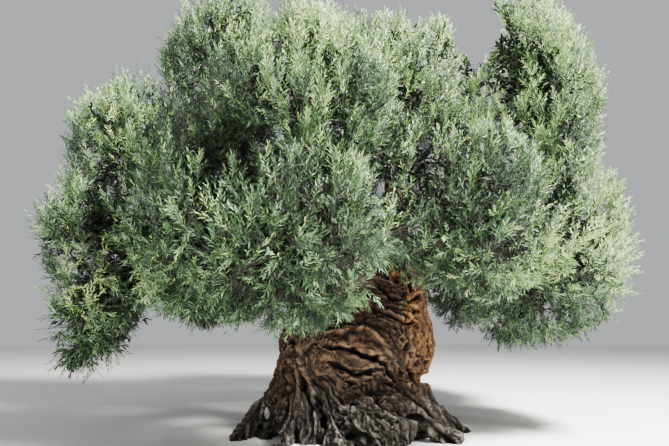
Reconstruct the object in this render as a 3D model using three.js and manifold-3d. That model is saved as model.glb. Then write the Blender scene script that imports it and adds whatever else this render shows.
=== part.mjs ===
// An ancient olive tree with a broad, low crown: a wide gnarled trunk whose foot spreads into
// buttress roots with daylight gaps between them, a neck that rises off its right shoulder,
// boughs that rise from the neck and from a second stem, and the masses of foliage they carry.
// Millimetres, +Z up, origin at the middle of the flat cut at ground level, +X to the right
// and -Y towards the viewer.

import * as THREE from "three";
import { mergeVertices } from "three/addons/utils/BufferGeometryUtils.js";
import Module from "manifold-3d";

// Driving dimensions
const TRUNK_WIDTH = 2960; // across the body at breast height
const TRUNK_DEPTH = 2680;
const ROOT_SPREAD = 2260; // from the trunk's axis to the tips of the longest roots
const NECK_HEIGHT = 3450; // where the neck forks
const CROWN_LUMPINESS = 0.11; // how far a mass swells and sinks, as a share of its radius
const LUMP_WAVES = [2.2, 6.4]; // slowest and fastest wave of those lumps, in radians a radius
const GAP = 2.0; // between neighbouring pieces
const FOLIAGE_CLEARANCE = 60; // between the trunk and the masses round it
const GROUND_DEPTH = 3000; // of the block that levels the foot
const BARK_COLOUR = 0x6f5a47;
const LEAF_COLOUR = 0x7b8a68;

// Mesh fineness
const BODY_SIDES = 24;
const BODY_STEPS = 9;
const ROOT_SIDES = 7;
const ROOT_STEPS = 4;
const BOUGH_SIDES = 7;
const BOUGH_STEPS = 4;
const SLOT_SIDES = 6;
const MASS_DETAIL = 3;
const KNOB_DETAIL = 1;

const wasm = await Module();
wasm.setup();

const bark = new THREE.MeshStandardMaterial({ color: BARK_COLOUR, roughness: 0.95, metalness: 0 });
const leaf = new THREE.MeshStandardMaterial({ color: LEAF_COLOUR, roughness: 0.7, metalness: 0 });

// Only positions are kept, and vertices in one place are one vertex.
function welded(geometry) {
  const bare = geometry.clone();
  bare.deleteAttribute("normal");
  bare.deleteAttribute("uv");
  return mergeVertices(bare, 0.01);
}

function solidOf(geometry) {
  const merged = welded(geometry);
  return new wasm.Manifold(
    new wasm.Mesh({
      numProp: 3,
      vertProperties: merged.attributes.position.array,
      triVerts: new Uint32Array(merged.index.array),
    }),
  );
}

function geometryOf(solid) {
  const mesh = solid.getMesh();
  const geometry = new THREE.BufferGeometry();
  geometry.setAttribute("position", new THREE.BufferAttribute(mesh.vertProperties.slice(), 3));
  geometry.setIndex(new THREE.BufferAttribute(mesh.triVerts.slice(), 1));
  geometry.computeVertexNormals();
  return geometry;
}

function largestBody(solid) {
  return solid.decompose().reduce((a, b) => (a.volume() > b.volume() ? a : b));
}

// Every shape below can be made a little larger by extra, to cut its neighbour clear of it.
function ellipsoid({ centre, radii, detail }, extra = 0) {
  const ball = new THREE.IcosahedronGeometry(1, detail);
  ball.scale(...radii.map((radius) => radius + extra));
  ball.translate(...centre);
  return solidOf(ball);
}

// Seeded random numbers from 0 to 1
function randomFrom(seed) {
  let state = seed;
  return () => {
    state = (state * 1664525 + 1013904223) >>> 0;
    return state / 4294967296;
  };
}

// A smooth uneven function of direction, from about -1 to 1
function unevenness(seed, waves = 7) {
  const random = randomFrom(seed);
  const [slow, fast] = LUMP_WAVES;
  const parts = Array.from({ length: waves }, () => ({
    axis: new THREE.Vector3(random() - 0.5, random() - 0.5, random() - 0.5).normalize(),
    frequency: slow + (fast - slow) * random(),
    phase: 2 * Math.PI * random(),
  }));
  const strength = Math.sqrt(2 / waves);
  return (direction) =>
    strength *
    parts.reduce((sum, p) => sum + Math.sin(p.frequency * direction.dot(p.axis) + p.phase), 0);
}

// A limb of round section that follows a smooth curve and tapers along it. flatten is the
// share of its width that it keeps across the curve's side axis.
function limb({ points, start, end, sides, steps, flatten = 1 }, extra = 0) {
  const curve = new THREE.CatmullRomCurve3(points.map((p) => new THREE.Vector3(...p)));
  const frames = curve.computeFrenetFrames(steps, false);
  const tube = new THREE.CylinderGeometry(1, 1, 1, sides, steps);
  const place = tube.attributes.position;
  for (let i = 0; i < place.count; i++) {
    const along = place.getY(i) + 0.5;
    const ring = Math.round(along * steps);
    const normal = frames.normals[ring];
    const tangent = frames.tangents[ring];
    const side = normal.clone().cross(tangent);
    const radius = THREE.MathUtils.lerp(start, end, along);
    const point = curve
      .getPointAt(along)
      .addScaledVector(tangent, extra * (2 * along - 1))
      .addScaledVector(normal, (radius + extra) * place.getX(i))
      .addScaledVector(side, (radius * flatten + extra) * place.getZ(i));
    place.setXYZ(i, point.x, point.y, point.z);
  }
  return solidOf(tube);
}

// The trunk's body, as level sections from the ground up: height, where its middle is, and
// half its width and depth as shares of the breast height ones.
const BODY_SECTIONS = [
  { z: -200, x: 0, y: -60, width: 1.14, depth: 1.2 },
  { z: 350, x: 10, y: -40, width: 1.08, depth: 1.12 },
  { z: 850, x: 20, y: 0, width: 0.94, depth: 1.0 },
  { z: 1250, x: 130, y: 20, width: 0.97, depth: 1.0 },
  { z: 1700, x: 200, y: 40, width: 1.0, depth: 1.0 },
  { z: 2150, x: 290, y: 70, width: 0.89, depth: 0.86 },
  { z: 2550, x: 420, y: 100, width: 0.66, depth: 0.62 },
  { z: 2800, x: 560, y: 120, width: 0.3, depth: 0.3 },
];
// Broad swellings round the body, each set with its count, its depth as a share of the radius,
// the radians that it turns from foot to top and where it starts.
const LOBES = [
  { count: 5, depth: 0.055, turn: 4.5, start: 0 },
  { count: 3, depth: 0.033, turn: -2.1, start: 1.3 },
];

function trunkBody(extra) {
  const last = BODY_SECTIONS.length - 1;
  const column = new THREE.CylinderGeometry(1, 1, 1, BODY_SIDES, BODY_STEPS);
  const place = column.attributes.position;
  for (let i = 0; i < place.count; i++) {
    const up = place.getY(i) + 0.5;
    const lower = Math.min(last - 1, Math.floor(up * last));
    const share = up * last - lower;
    const between = (key) =>
      THREE.MathUtils.lerp(BODY_SECTIONS[lower][key], BODY_SECTIONS[lower + 1][key], share);
    const angle = Math.atan2(place.getZ(i), place.getX(i));
    const swell = LOBES.reduce(
      (sum, lobe) => sum + lobe.depth * Math.sin(lobe.count * angle + lobe.turn * up + lobe.start),
      1,
    );
    place.setXYZ(
      i,
      between("x") + ((TRUNK_WIDTH / 2) * between("width") * swell + extra) * place.getX(i),
      between("y") - ((TRUNK_DEPTH / 2) * between("depth") * swell + extra) * place.getZ(i),
      between("z"),
    );
  }
  return solidOf(column);
}

// The neck leaves the right shoulder, swells a little and leans right as it rises.
const NECK = {
  points: [
    [850, 60, 1500],
    [1020, 90, 2250],
    [1090, 110, 2850],
    [1190, 150, NECK_HEIGHT],
  ],
  start: 760,
  end: 410,
  sides: 12,
  steps: 6,
  flatten: 0.92,
};

// Buttress roots, by the compass angle that each leaves on (0 is right, 90 is away from the
// viewer), how far it reaches as a share of the spread, its girth and the height it starts at.
const ROOTS = [
  { angle: 2, reach: 0.95, girth: 380, rise: 980 },
  { angle: 47, reach: 0.9, girth: 330, rise: 900 },
  { angle: 92, reach: 0.92, girth: 380, rise: 960 },
  { angle: 134, reach: 0.95, girth: 330, rise: 880 },
  { angle: 172, reach: 0.84, girth: 330, rise: 900 },
  { angle: 204, reach: 0.99, girth: 340, rise: 980 },
  { angle: 232, reach: 0.98, girth: 350, rise: 1150 },
  { angle: 262, reach: 0.92, girth: 330, rise: 900 },
  { angle: 312, reach: 1.02, girth: 360, rise: 1250 },
  { angle: 341, reach: 0.98, girth: 290, rise: 800 },
];
const ROOT_SWEEP = 9; // degrees that a root turns on its way out
const ROOT_START = 1.25; // radius at the trunk and at the tip, as shares of the girth
const ROOT_TIP = 0.36;
const FOOT_DEPTH = 0.92; // of the ring of roots from front to back, as a share of its width
// A root's way out: its turn in sweeps, its distance and its height as shares of reach and rise
const ROOT_WAY = [
  { turn: -1, out: 0.31, up: 1.1 },
  { turn: 0, out: 0.57, up: 0.66 },
  { turn: 0.5, out: 0.8, up: 0.26 },
  { turn: 1, out: 1, up: 0 },
];

function root({ angle, reach, girth, rise }, extra) {
  const points = ROOT_WAY.map(({ turn, out, up }) => {
    const heading = THREE.MathUtils.degToRad(angle + turn * ROOT_SWEEP);
    const distance = out * reach * ROOT_SPREAD;
    return [distance * Math.cos(heading), FOOT_DEPTH * distance * Math.sin(heading), up * rise];
  });
  const size = { start: ROOT_START * girth, end: ROOT_TIP * girth, flatten: 0.86 };
  return limb({ points, ...size, sides: ROOT_SIDES, steps: ROOT_STEPS }, extra);
}

// Burrs that stand out of the body: the grey one low in front, and the overhanging one on the
// right below the neck.
const BURRS = [
  { centre: [450, -1340, 330], radii: [700, 520, 480], detail: KNOB_DETAIL },
  { centre: [1290, -60, 1480], radii: [440, 520, 330], detail: KNOB_DETAIL },
  { centre: [-560, -1000, 1350], radii: [480, 420, 420], detail: KNOB_DETAIL },
  { centre: [-500, 60, 2150], radii: [620, 560, 430], detail: KNOB_DETAIL },
];

// Gaps at the foot where daylight shows through, each a slot from a mouth in front to where it
// ends, with half its width and height.
const LIGHT_GAPS = [
  { mouth: [62, -2500, 690], exit: [230, 2500, 10], width: 82, height: 118 },
  { mouth: [-1197, -2100, 574], exit: [-1689, 1900, 17], width: 80, height: 160 },
  { mouth: [-330, -2500, 540], exit: [-430, -100, 60], width: 80, height: 115 },
  { mouth: [-1080, -2450, 210], exit: [-1180, -500, 20], width: 130, height: 90 },
];

// The hollow under the overhanging burr, which parts it from the root below.
const UNDERCUT = { centre: [1900, -60, 900], radii: [660, 1100, 180], detail: KNOB_DETAIL };

function lightGap({ mouth, exit, width, height }) {
  const size = { start: width, end: width, flatten: height / width };
  return limb({ points: [mouth, exit], ...size, sides: SLOT_SIDES, steps: 1 });
}

const groundBlock = new THREE.BoxGeometry(4 * ROOT_SPREAD, 4 * ROOT_SPREAD, GROUND_DEPTH);
groundBlock.translate(0, 0, -GROUND_DEPTH / 2);

function trunk(extra = 0) {
  let whole = trunkBody(extra).add(limb(NECK, extra));
  for (const shape of ROOTS) whole = whole.add(root(shape, extra));
  for (const burr of BURRS) whole = whole.add(ellipsoid(burr, extra));
  return whole.subtract(ellipsoid(UNDERCUT, -extra)).subtract(solidOf(groundBlock));
}

function trunkWithGaps() {
  return largestBody(LIGHT_GAPS.reduce((rest, gap) => rest.subtract(lightGap(gap)), trunk()));
}

// Masses of foliage: middle and half sizes
const MASSES = [
  { name: "front_upper", centre: [-560, -2050, 5450], radii: [1400, 1600, 1750] },
  { name: "front_lower", centre: [-780, -2650, 2980], radii: [1500, 1400, 1350] },
  { name: "front_left", centre: [-2250, -2100, 3600], radii: [1250, 1500, 1780] },
  { name: "left_upper", centre: [-3850, -300, 5000], radii: [1480, 2000, 1750] },
  { name: "left_lower", centre: [-4050, -800, 3600], radii: [1220, 1550, 2200] },
  { name: "upper_left", centre: [-2500, 1150, 7250], radii: [1500, 2000, 2200] },
  { name: "middle", centre: [-700, 1000, 6900], radii: [1700, 1900, 2050] },
  { name: "top", centre: [950, 150, 6650], radii: [1700, 2000, 2150] },
  { name: "right_upper", centre: [3900, 650, 6650], radii: [1760, 2000, 2250] },
  { name: "right_lower", centre: [3750, -350, 3350], radii: [1560, 1850, 1800] },
  { name: "centre_right", centre: [2150, -1350, 3700], radii: [1400, 1600, 1750] },
  { name: "back_left", centre: [-3000, 2750, 4050], radii: [2250, 1950, 2150] },
  { name: "back_right", centre: [3250, 2700, 4300], radii: [2150, 1950, 2150] },
  { name: "back_middle", centre: [150, 3450, 4200], radii: [2200, 1800, 2100] },
  { name: "back_top", centre: [1350, 2500, 6900], radii: [2300, 1900, 1900] },
  { name: "inner_left", centre: [-2050, 250, 5650], radii: [1350, 1500, 1400] },
  { name: "inner_right", centre: [2500, 1100, 5600], radii: [1500, 1700, 1500] },
  { name: "left_skirt", centre: [-4330, -1150, 2250], radii: [690, 1150, 1200] },
];
const FIRST_SEED = 11; // of the lumps on the first mass, and each next mass adds a step
const SEED_STEP = 17;

// The open space under the crown, round the neck and the boughs
const HOLLOW = { centre: [150, 350, 1900], radii: [2500, 2150, 2000], detail: 3 };

// How far an ellipsoid of those half sizes reaches in a direction
function reachOf(radii, direction) {
  return 1 / Math.hypot(direction.x / radii[0], direction.y / radii[1], direction.z / radii[2]);
}

// The plane between two masses, seen from the first: a unit normal and its distance.
function divide(mass, other) {
  const step = new THREE.Vector3(...other.centre).sub(new THREE.Vector3(...mass.centre));
  const distance = step.length();
  const normal = step.normalize();
  const mine = reachOf(mass.radii, normal);
  const theirs = reachOf(other.radii, normal.clone().negate());
  return { normal, distance: (distance * mine) / (mine + theirs) - GAP };
}

// A mass is an uneven ellipsoid, cut flat where it meets the next mass and hollowed under the
// crown.
function foliage(mass, extra = 0) {
  const ball = welded(new THREE.IcosahedronGeometry(1, MASS_DETAIL));
  const uneven = unevenness(FIRST_SEED + SEED_STEP * MASSES.indexOf(mass));
  const planes = MASSES.filter((other) => other !== mass).map((other) => divide(mass, other));
  const place = ball.attributes.position;
  const direction = new THREE.Vector3();
  for (let i = 0; i < place.count; i++) {
    direction.fromBufferAttribute(place, i).normalize();
    let reach = reachOf(mass.radii, direction) * (1 + CROWN_LUMPINESS * uneven(direction));
    for (const { normal, distance } of planes) {
      const towards = direction.dot(normal);
      if (towards * reach > distance) reach = distance / towards;
    }
    reach += extra;
    place.setXYZ(
      i,
      mass.centre[0] + reach * direction.x,
      mass.centre[1] + reach * direction.y,
      mass.centre[2] + reach * direction.z,
    );
  }
  return solidOf(ball).subtract(ellipsoid(HOLLOW, -extra));
}

// Boughs: where each leaves the wood, the point it makes for inside its mass, and its girth at
// the start. Each is named for the mass it enters. The two that run on from the stems come
// first, and the rest leave their sides.
const NECK_FORK = [1180, 150, 3300];
const STEM_FORK = [-1000, 260, 3500];
const BOUGHS = [
  { name: "upper_left", from: [-560, 120, 2050], to: [-2000, 800, 5900], radius: 470 },
  { name: "top", from: [1120, 130, 2950], to: [820, 250, 5600], radius: 330 },
  { name: "front_upper", from: STEM_FORK, to: [-980, -1500, 4700], radius: 230 },
  { name: "front_lower", from: [-600, -500, 2250], to: [-820, -2100, 2950], radius: 200 },
  { name: "front_left", from: [-780, 150, 2900], to: [-2100, -1500, 3300], radius: 220 },
  { name: "left_upper", from: [-1150, 330, 3900], to: [-3700, -200, 4900], radius: 240 },
  { name: "left_lower", from: [-700, 150, 2650], to: [-3600, -650, 3350], radius: 240 },
  { name: "back_left", from: STEM_FORK, to: [-2700, 2400, 3900], radius: 220 },
  { name: "middle", from: [-1050, 300, 3800], to: [-700, 900, 6100], radius: 210 },
  { name: "right_upper", from: NECK_FORK, to: [3700, 700, 5900], radius: 300 },
  { name: "right_lower", from: [1150, 120, 2900], to: [3700, -200, 3300], radius: 260 },
  { name: "centre_right", from: NECK_FORK, to: [1950, -1200, 3800], radius: 200 },
  { name: "back_right", from: NECK_FORK, to: [3000, 2400, 4200], radius: 240 },
  { name: "back_middle", from: [1130, 130, 2950], to: [300, 3100, 4000], radius: 230 },
  { name: "back_top", from: [1150, 160, 3700], to: [1150, 2200, 5800], radius: 230 },
];
const BOUGH_TAPER = 0.42; // girth at the far end, as a share of that at the start
const BOUGH_ARCH = 0.1; // rise of a bough above a straight line, as a share of its length

function bough({ from, to, radius }, extra = 0) {
  const start = new THREE.Vector3(...from);
  const end = new THREE.Vector3(...to);
  const middle = start.clone().add(end).divideScalar(2);
  middle.z += BOUGH_ARCH * start.distanceTo(end);
  const points = [start, middle, end].map((p) => p.toArray());
  const size = { start: radius, end: BOUGH_TAPER * radius };
  return limb({ points, ...size, sides: BOUGH_SIDES, steps: BOUGH_STEPS }, extra);
}

function buildTree() {
  const tree = new THREE.Group();
  const place = (name, solid, material) => {
    const mesh = new THREE.Mesh(geometryOf(solid), material);
    mesh.name = name;
    tree.add(mesh);
  };

  place("trunk", trunkWithGaps(), bark);

  const trunkSpace = trunk(FOLIAGE_CLEARANCE);
  for (const mass of MASSES) {
    place(`foliage_${mass.name}`, largestBody(foliage(mass).subtract(trunkSpace)), leaf);
  }

  // A bough starts at the surface of the wood before it and ends where it enters its mass.
  const crownSpace = MASSES.map((mass) => foliage(mass, GAP).subtract(trunkSpace));
  let woodSpace = trunk(GAP);
  for (const shape of BOUGHS) {
    const clear = crownSpace.reduce((rest, mass) => rest.subtract(mass), bough(shape));
    place(`bough_${shape.name}`, largestBody(clear.subtract(woodSpace)), bark);
    woodSpace = woodSpace.add(bough(shape, GAP));
  }
  return tree;
}

const oliveTree = buildTree();

export default oliveTree;
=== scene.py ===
"""An ancient olive tree round its CAD solids: furrowed bark, branches, twigs and plumes of leaves.

Metres, +Z up, origin on the ground at the middle of the trunk, the viewer on the -Y side.
"""

import itertools
import math

import bmesh
import bpy
import numpy as np
from bpy.props import FloatProperty, FloatVectorProperty, IntProperty, PointerProperty
from mathutils import Matrix, Vector
from mathutils.bvhtree import BVHTree
from mathutils.geometry import delaunay_2d_cdt


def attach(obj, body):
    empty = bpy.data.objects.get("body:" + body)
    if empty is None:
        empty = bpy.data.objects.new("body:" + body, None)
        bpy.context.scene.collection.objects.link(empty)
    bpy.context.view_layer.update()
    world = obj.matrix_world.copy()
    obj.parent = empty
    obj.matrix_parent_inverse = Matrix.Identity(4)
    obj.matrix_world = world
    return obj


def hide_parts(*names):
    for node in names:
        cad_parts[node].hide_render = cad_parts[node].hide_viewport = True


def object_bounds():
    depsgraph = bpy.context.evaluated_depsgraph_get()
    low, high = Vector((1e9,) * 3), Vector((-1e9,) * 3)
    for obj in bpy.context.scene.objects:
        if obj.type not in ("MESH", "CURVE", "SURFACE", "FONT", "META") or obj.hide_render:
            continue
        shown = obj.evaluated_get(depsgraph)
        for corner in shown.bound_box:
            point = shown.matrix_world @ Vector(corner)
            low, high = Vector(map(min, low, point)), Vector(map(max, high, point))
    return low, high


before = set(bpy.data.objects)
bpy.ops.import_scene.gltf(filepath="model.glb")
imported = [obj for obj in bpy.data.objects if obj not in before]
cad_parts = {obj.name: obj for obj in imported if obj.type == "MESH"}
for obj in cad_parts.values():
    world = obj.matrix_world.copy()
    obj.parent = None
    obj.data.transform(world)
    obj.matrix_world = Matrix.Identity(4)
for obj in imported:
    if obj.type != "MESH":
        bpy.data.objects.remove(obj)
CAD_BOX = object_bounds()

bl_info = {
    "name": "Ancient Olive Tree",
    "version": (1, 0, 0),
    "blender": (4, 5, 0),
    "location": "3D View > Sidebar > Olive Tree",
    "description": "Models the bark, branches and leaves of an old olive tree",
    "category": "Object",
}

BODY = "root"
BARK_SLOT = "bark"
LEAF_SLOT = "leaves"
UP = np.array([0.0, 0.0, 1.0])
RIGHT = np.array([1.0, 0.0, 0.0])
# Farther than anything that is looked for
FAR_OFF = 9.0

# The foliage may pass the CAD box by this share of each side, and this far besides, and it stays
# this far above the ground
BOX_SHARE = 0.026
BOX_MARGIN = 0.008
GROUND_CLEARANCE = 0.05


# Colours and materials


def srgb(value):
    """A colour such as 0x8A6B4F as linear red, green and blue."""
    shares = [((value >> shift) & 255) / 255 for shift in (16, 8, 0)]
    return tuple(s / 12.92 if s <= 0.04045 else ((s + 0.055) / 1.055) ** 2.4 for s in shares)


def add_node(tree, kind, settings=None, **links):
    """A shader node with its settings, and its inputs linked or set by name or as i0, i1, ..."""
    node = tree.nodes.new(kind)
    for name, value in (settings or {}).items():
        setattr(node, name, value)
    for name, value in links.items():
        socket = node.inputs[int(name[1:]) if name[1:].isdigit() else name.replace("_", " ")]
        if isinstance(value, bpy.types.NodeSocket):
            tree.links.new(value, socket)
        else:
            socket.default_value = value
    return node


def start_material(name, **values):
    """A new material, its tree and its Principled node, whose inputs are set by name."""
    material = bpy.data.materials.new(name)
    material.use_nodes = True
    shader = material.node_tree.nodes["Principled BSDF"]
    for key, value in values.items():
        shader.inputs[key.replace("_", " ")].default_value = value
    return material, material.node_tree, shader


def ramp(tree, factor, stops):
    """A colour ramp of (place, sRGB value) stops."""
    node = add_node(tree, "ShaderNodeValToRGB", i0=factor)
    elements = node.color_ramp.elements
    while len(elements) < len(stops):
        elements.new(0.5)
    for element, (place, value) in zip(elements, stops):
        element.position = place
        element.color = (*srgb(value), 1)
    return node.outputs["Color"]


def blend_colour(tree, factor, first, second, blend_type="MIX"):
    """Two colours mixed by a factor."""
    settings = {"data_type": "RGBA", "blend_type": blend_type}
    node = add_node(tree, "ShaderNodeMix", settings, i0=factor, i6=first, i7=second)
    return node.outputs[2]


# Old bark's colours from its furrows to its crests, where it is brown, peeled and ashen: near black
# in the furrows as painted shade, and pale on the crests as a painted highlight
BARK_STOPS = (0.0, 0.3, 0.52, 0.75, 1.0)
BARK_COLOURS = [
    (0x050302, 0x150F0A, 0x2F231A, 0x4A3A2C, 0x6C5845),
    (0x080402, 0x25160C, 0x482D19, 0x6B4A2B, 0x977146),
    # Ashen grey bark, made darker than its own colour as painted shade
    (0x030303, 0x0C0B0A, 0x1E1C1A, 0x373430, 0x605B55),
]
# Young bark's colours, darkened as painted shade for the twigs inside the crown
YOUNG_BARK_COLOURS = [(0.25, 0x0E0B08), (0.55, 0x1C1711), (0.8, 0x332A21)]


def old_olive_bark():
    """Weathered olive bark, grown: matt, near black in its furrows as painted shade, pale on its
    crests as a painted highlight.

    The mesh says how far each point stands out, how rusty the wood is and how ashen.
    """
    material, tree, shader = start_material(
        "old_olive_bark", Roughness=0.92, Specular_IOR_Level=0.2
    )
    place = add_node(tree, "ShaderNodeTexCoord").outputs["Object"]
    relief, rust, grey = (
        add_node(tree, "ShaderNodeAttribute", {"attribute_name": name}).outputs["Fac"]
        for name in ("relief", "rust", "grey")
    )
    # Blotches about 200 mm across, and grain about 25 mm
    blotch = add_node(tree, "ShaderNodeTexNoise", i0=place, Scale=5.0, Detail=6.0, Roughness=0.7)
    grain = add_node(tree, "ShaderNodeTexNoise", i0=place, Scale=40.0, Detail=4.0, Roughness=0.65)
    # The relief paints shade into the furrows and a highlight onto the crests
    brown, peeled, ashen = (
        ramp(tree, relief, list(zip(BARK_STOPS, colours))) for colours in BARK_COLOURS
    )
    colour = blend_colour(tree, rust, brown, peeled)
    colour = blend_colour(tree, grey, colour, ashen)
    # A blotch is up to 35% paler or 45% darker
    spread = add_node(
        tree, "ShaderNodeMapRange", Value=blotch.outputs["Fac"],
        From_Min=0.3, From_Max=0.7, To_Min=0.55, To_Max=1.35,
    )
    colour = blend_colour(tree, 1.0, colour, spread.outputs["Result"], "MULTIPLY")
    tree.links.new(colour, shader.inputs["Base Color"])
    rough = add_node(
        tree, "ShaderNodeBump", Strength=0.9, Distance=0.016, Height=grain.outputs["Fac"]
    )
    tree.links.new(rough.outputs["Normal"], shader.inputs["Normal"])
    return material


def young_olive_bark():
    """Smooth grey olive bark, grown: satin, with faint streaks about 100 mm long, and darkened
    nearly to black as painted shade inside the crown.
    """
    material, tree, shader = start_material("young_olive_bark", Roughness=0.85)
    place = add_node(tree, "ShaderNodeTexCoord").outputs["Object"]
    streak = add_node(tree, "ShaderNodeTexNoise", i0=place, Scale=9.0, Detail=4.0, Roughness=0.6)
    colour = ramp(tree, streak.outputs["Fac"], YOUNG_BARK_COLOURS)
    tree.links.new(colour, shader.inputs["Base Color"])
    return material


def olive_leaf(name, value, roughness):
    """A leathery olive leaf, waxy above: a soft sheen over one plain colour."""
    return start_material(name, Base_Color=(*srgb(value), 1), Roughness=roughness)[0]


# Noise and vectors, on whole arrays of points

# Large odd factors that scatter lattice cells and seeds
CELL_FACTORS = (73856093, 19349663, 83492791)
SEED_FACTOR = 97531
MIX_FACTOR = 1274126177
LOW_32_BITS = 0xFFFFFFFF
LOW_24_BITS = 0xFFFFFF
# What brings the noise to a range of about -1 to 1
NOISE_GAIN = 1.7


def cell_hash(cell, seed):
    """A whole number from 0 to 2**24 for each lattice cell."""
    mixed = seed * SEED_FACTOR
    for axis, factor in enumerate(CELL_FACTORS):
        mixed = mixed ^ (cell[..., axis] * factor)
    mixed = mixed & LOW_32_BITS
    mixed = ((mixed ^ (mixed >> 13)) * MIX_FACTOR) & LOW_32_BITS
    return (mixed ^ (mixed >> 16)) & LOW_24_BITS


def noise(points, size, seed):
    """Smooth gradient noise from about -1 to 1, with lumps of about that size.

    The seed picks the pattern.
    """
    scaled = points / size
    cell = np.floor(scaled).astype(np.int64)
    inside = scaled - cell
    fade = inside**3 * (inside * (inside * 6 - 15) + 10)
    total = np.zeros(len(points))
    for corner in itertools.product((0, 1), repeat=3):
        mixed = cell_hash(cell + corner, seed)
        weight = np.prod(np.where(corner, fade, 1 - fade), axis=1)
        slope = sum(
            (((mixed >> shift) & 255) / 127.5 - 1) * (inside[:, axis] - corner[axis])
            for axis, shift in enumerate((0, 8, 16))
        )
        total += weight * slope
    return NOISE_GAIN * total


def noise_vectors(points, size, seed):
    """A smooth random vector at each point."""
    return np.column_stack([noise(points, size, seed + k) for k in range(3)])


def smooth_step(low, high, value):
    """0 at low, 1 at high and a smooth change between."""
    share = np.clip((value - low) / (high - low), 0, 1)
    return share * share * (3 - 2 * share)


def bell(distance, width):
    """1 at no distance, falling off smoothly over a width."""
    return np.exp(-((distance / width) ** 2))


def unit(vectors):
    """Vectors scaled to a length of one."""
    return vectors / np.maximum(np.linalg.norm(vectors, axis=-1, keepdims=True), 1e-9)


def dots(first, second):
    """The dot product of each pair of vectors, as a column."""
    return (first * second).sum(axis=-1, keepdims=True)


def laid_along(vectors, normals):
    """Vectors turned square to some normals, to lie along that surface, with a length of one."""
    return unit(vectors - dots(vectors, normals) * normals)


# Reading meshes and the CAD solids


def corners_of(mesh):
    """A mesh's vertices as an array."""
    places = np.empty(len(mesh.vertices) * 3, np.float32)
    mesh.vertices.foreach_get("co", places)
    return places.reshape(-1, 3).astype(float)


def normals_of(mesh):
    """A mesh's vertex normals as an array."""
    normals = np.empty(len(mesh.vertices) * 3, np.float32)
    mesh.vertex_normals.foreach_get("vector", normals)
    return normals.reshape(-1, 3).astype(float)


def edges_of(mesh):
    """The two ends of each of a mesh's edges."""
    ends = np.empty(len(mesh.edges) * 2, np.int32)
    mesh.edges.foreach_get("vertices", ends)
    return ends.reshape(-1, 2).T


def triangles_in(mesh):
    """A mesh's triangles, as their corners."""
    mesh.calc_loop_triangles()
    index = np.empty(len(mesh.loop_triangles) * 3, np.int32)
    mesh.loop_triangles.foreach_get("vertices", index)
    return corners_of(mesh)[index.reshape(-1, 3)]


def triangles_of(node):
    """A CAD node's triangles, as their corners."""
    return triangles_in(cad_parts[node].data)


def search_tree(triangles):
    """A tree in which the nearest of some triangles is quickly found."""
    corners = triangles.reshape(-1, 3)
    faces = np.arange(len(corners)).reshape(-1, 3).tolist()
    return BVHTree.FromPolygons([Vector(corner) for corner in corners], faces)


def section(triangles, point, normal):
    """The centre and mean radius of the cut that a plane makes through some triangles."""
    height = (triangles - point) @ normal
    cuts = []
    for a, b in ((0, 1), (1, 2), (2, 0)):
        crossing = height[:, a] * height[:, b] < 0
        share = height[crossing, a] / (height[crossing, a] - height[crossing, b])
        start, end = triangles[crossing, a], triangles[crossing, b]
        cuts.append(start + (end - start) * share[:, None])
    cut = np.concatenate(cuts)
    centre = (cut.min(axis=0) + cut.max(axis=0)) / 2
    return centre, float(np.linalg.norm(cut - centre, axis=1).mean())


# Making meshes

# The rings of a tube that rises by less than this share are laid out from above, and the others
# from the right
STEEP = 0.8
# Corners of a CAD solid that lie this close are one
MERGE_DISTANCE = 0.0005
# How often a skin of wide squares is rounded off
SKIN_ROUNDS = 4


def link(piece):
    """Puts an object in the scene."""
    bpy.context.scene.collection.objects.link(piece)
    return piece


def mesh_object(name, vertices, faces, materials, slot_of_face=None, smooth=True):
    """A new object at the origin from an array of vertices and one of equal-sided faces."""
    sides = faces.shape[1]
    mesh = bpy.data.meshes.new(name)
    mesh.vertices.add(len(vertices))
    mesh.vertices.foreach_set("co", vertices.astype(np.float32).ravel())
    mesh.loops.add(faces.size)
    mesh.loops.foreach_set("vertex_index", faces.astype(np.int32).ravel())
    mesh.polygons.add(len(faces))
    mesh.polygons.foreach_set("loop_start", np.arange(0, faces.size, sides, dtype=np.int32))
    if slot_of_face is not None:
        mesh.polygons.foreach_set("material_index", slot_of_face.astype(np.int32))
    mesh.polygons.foreach_set("use_smooth", np.full(len(faces), smooth))
    for material in materials:
        mesh.materials.append(material)
    mesh.update(calc_edges=True)
    return link(bpy.data.objects.new(name, mesh))


def bmesh_object(name, form):
    """A new object at the origin from a bmesh, which is freed."""
    mesh = bpy.data.meshes.new(name)
    form.to_mesh(mesh)
    form.free()
    return link(bpy.data.objects.new(name, mesh))


def declare(piece, slot, *nodes):
    """Puts a finished piece on the tree in place of its CAD nodes."""
    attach(piece, BODY)
    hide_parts(*nodes)


def gathered(parts):
    """Several (vertices, faces) pairs as one."""
    parts = [part for part in parts if len(part[0])]
    starts = np.cumsum([0] + [len(vertices) for vertices, _ in parts[:-1]])
    return (
        np.concatenate([vertices for vertices, _ in parts]),
        np.concatenate([faces + start for (_, faces), start in zip(parts, starts)]),
    )


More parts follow.
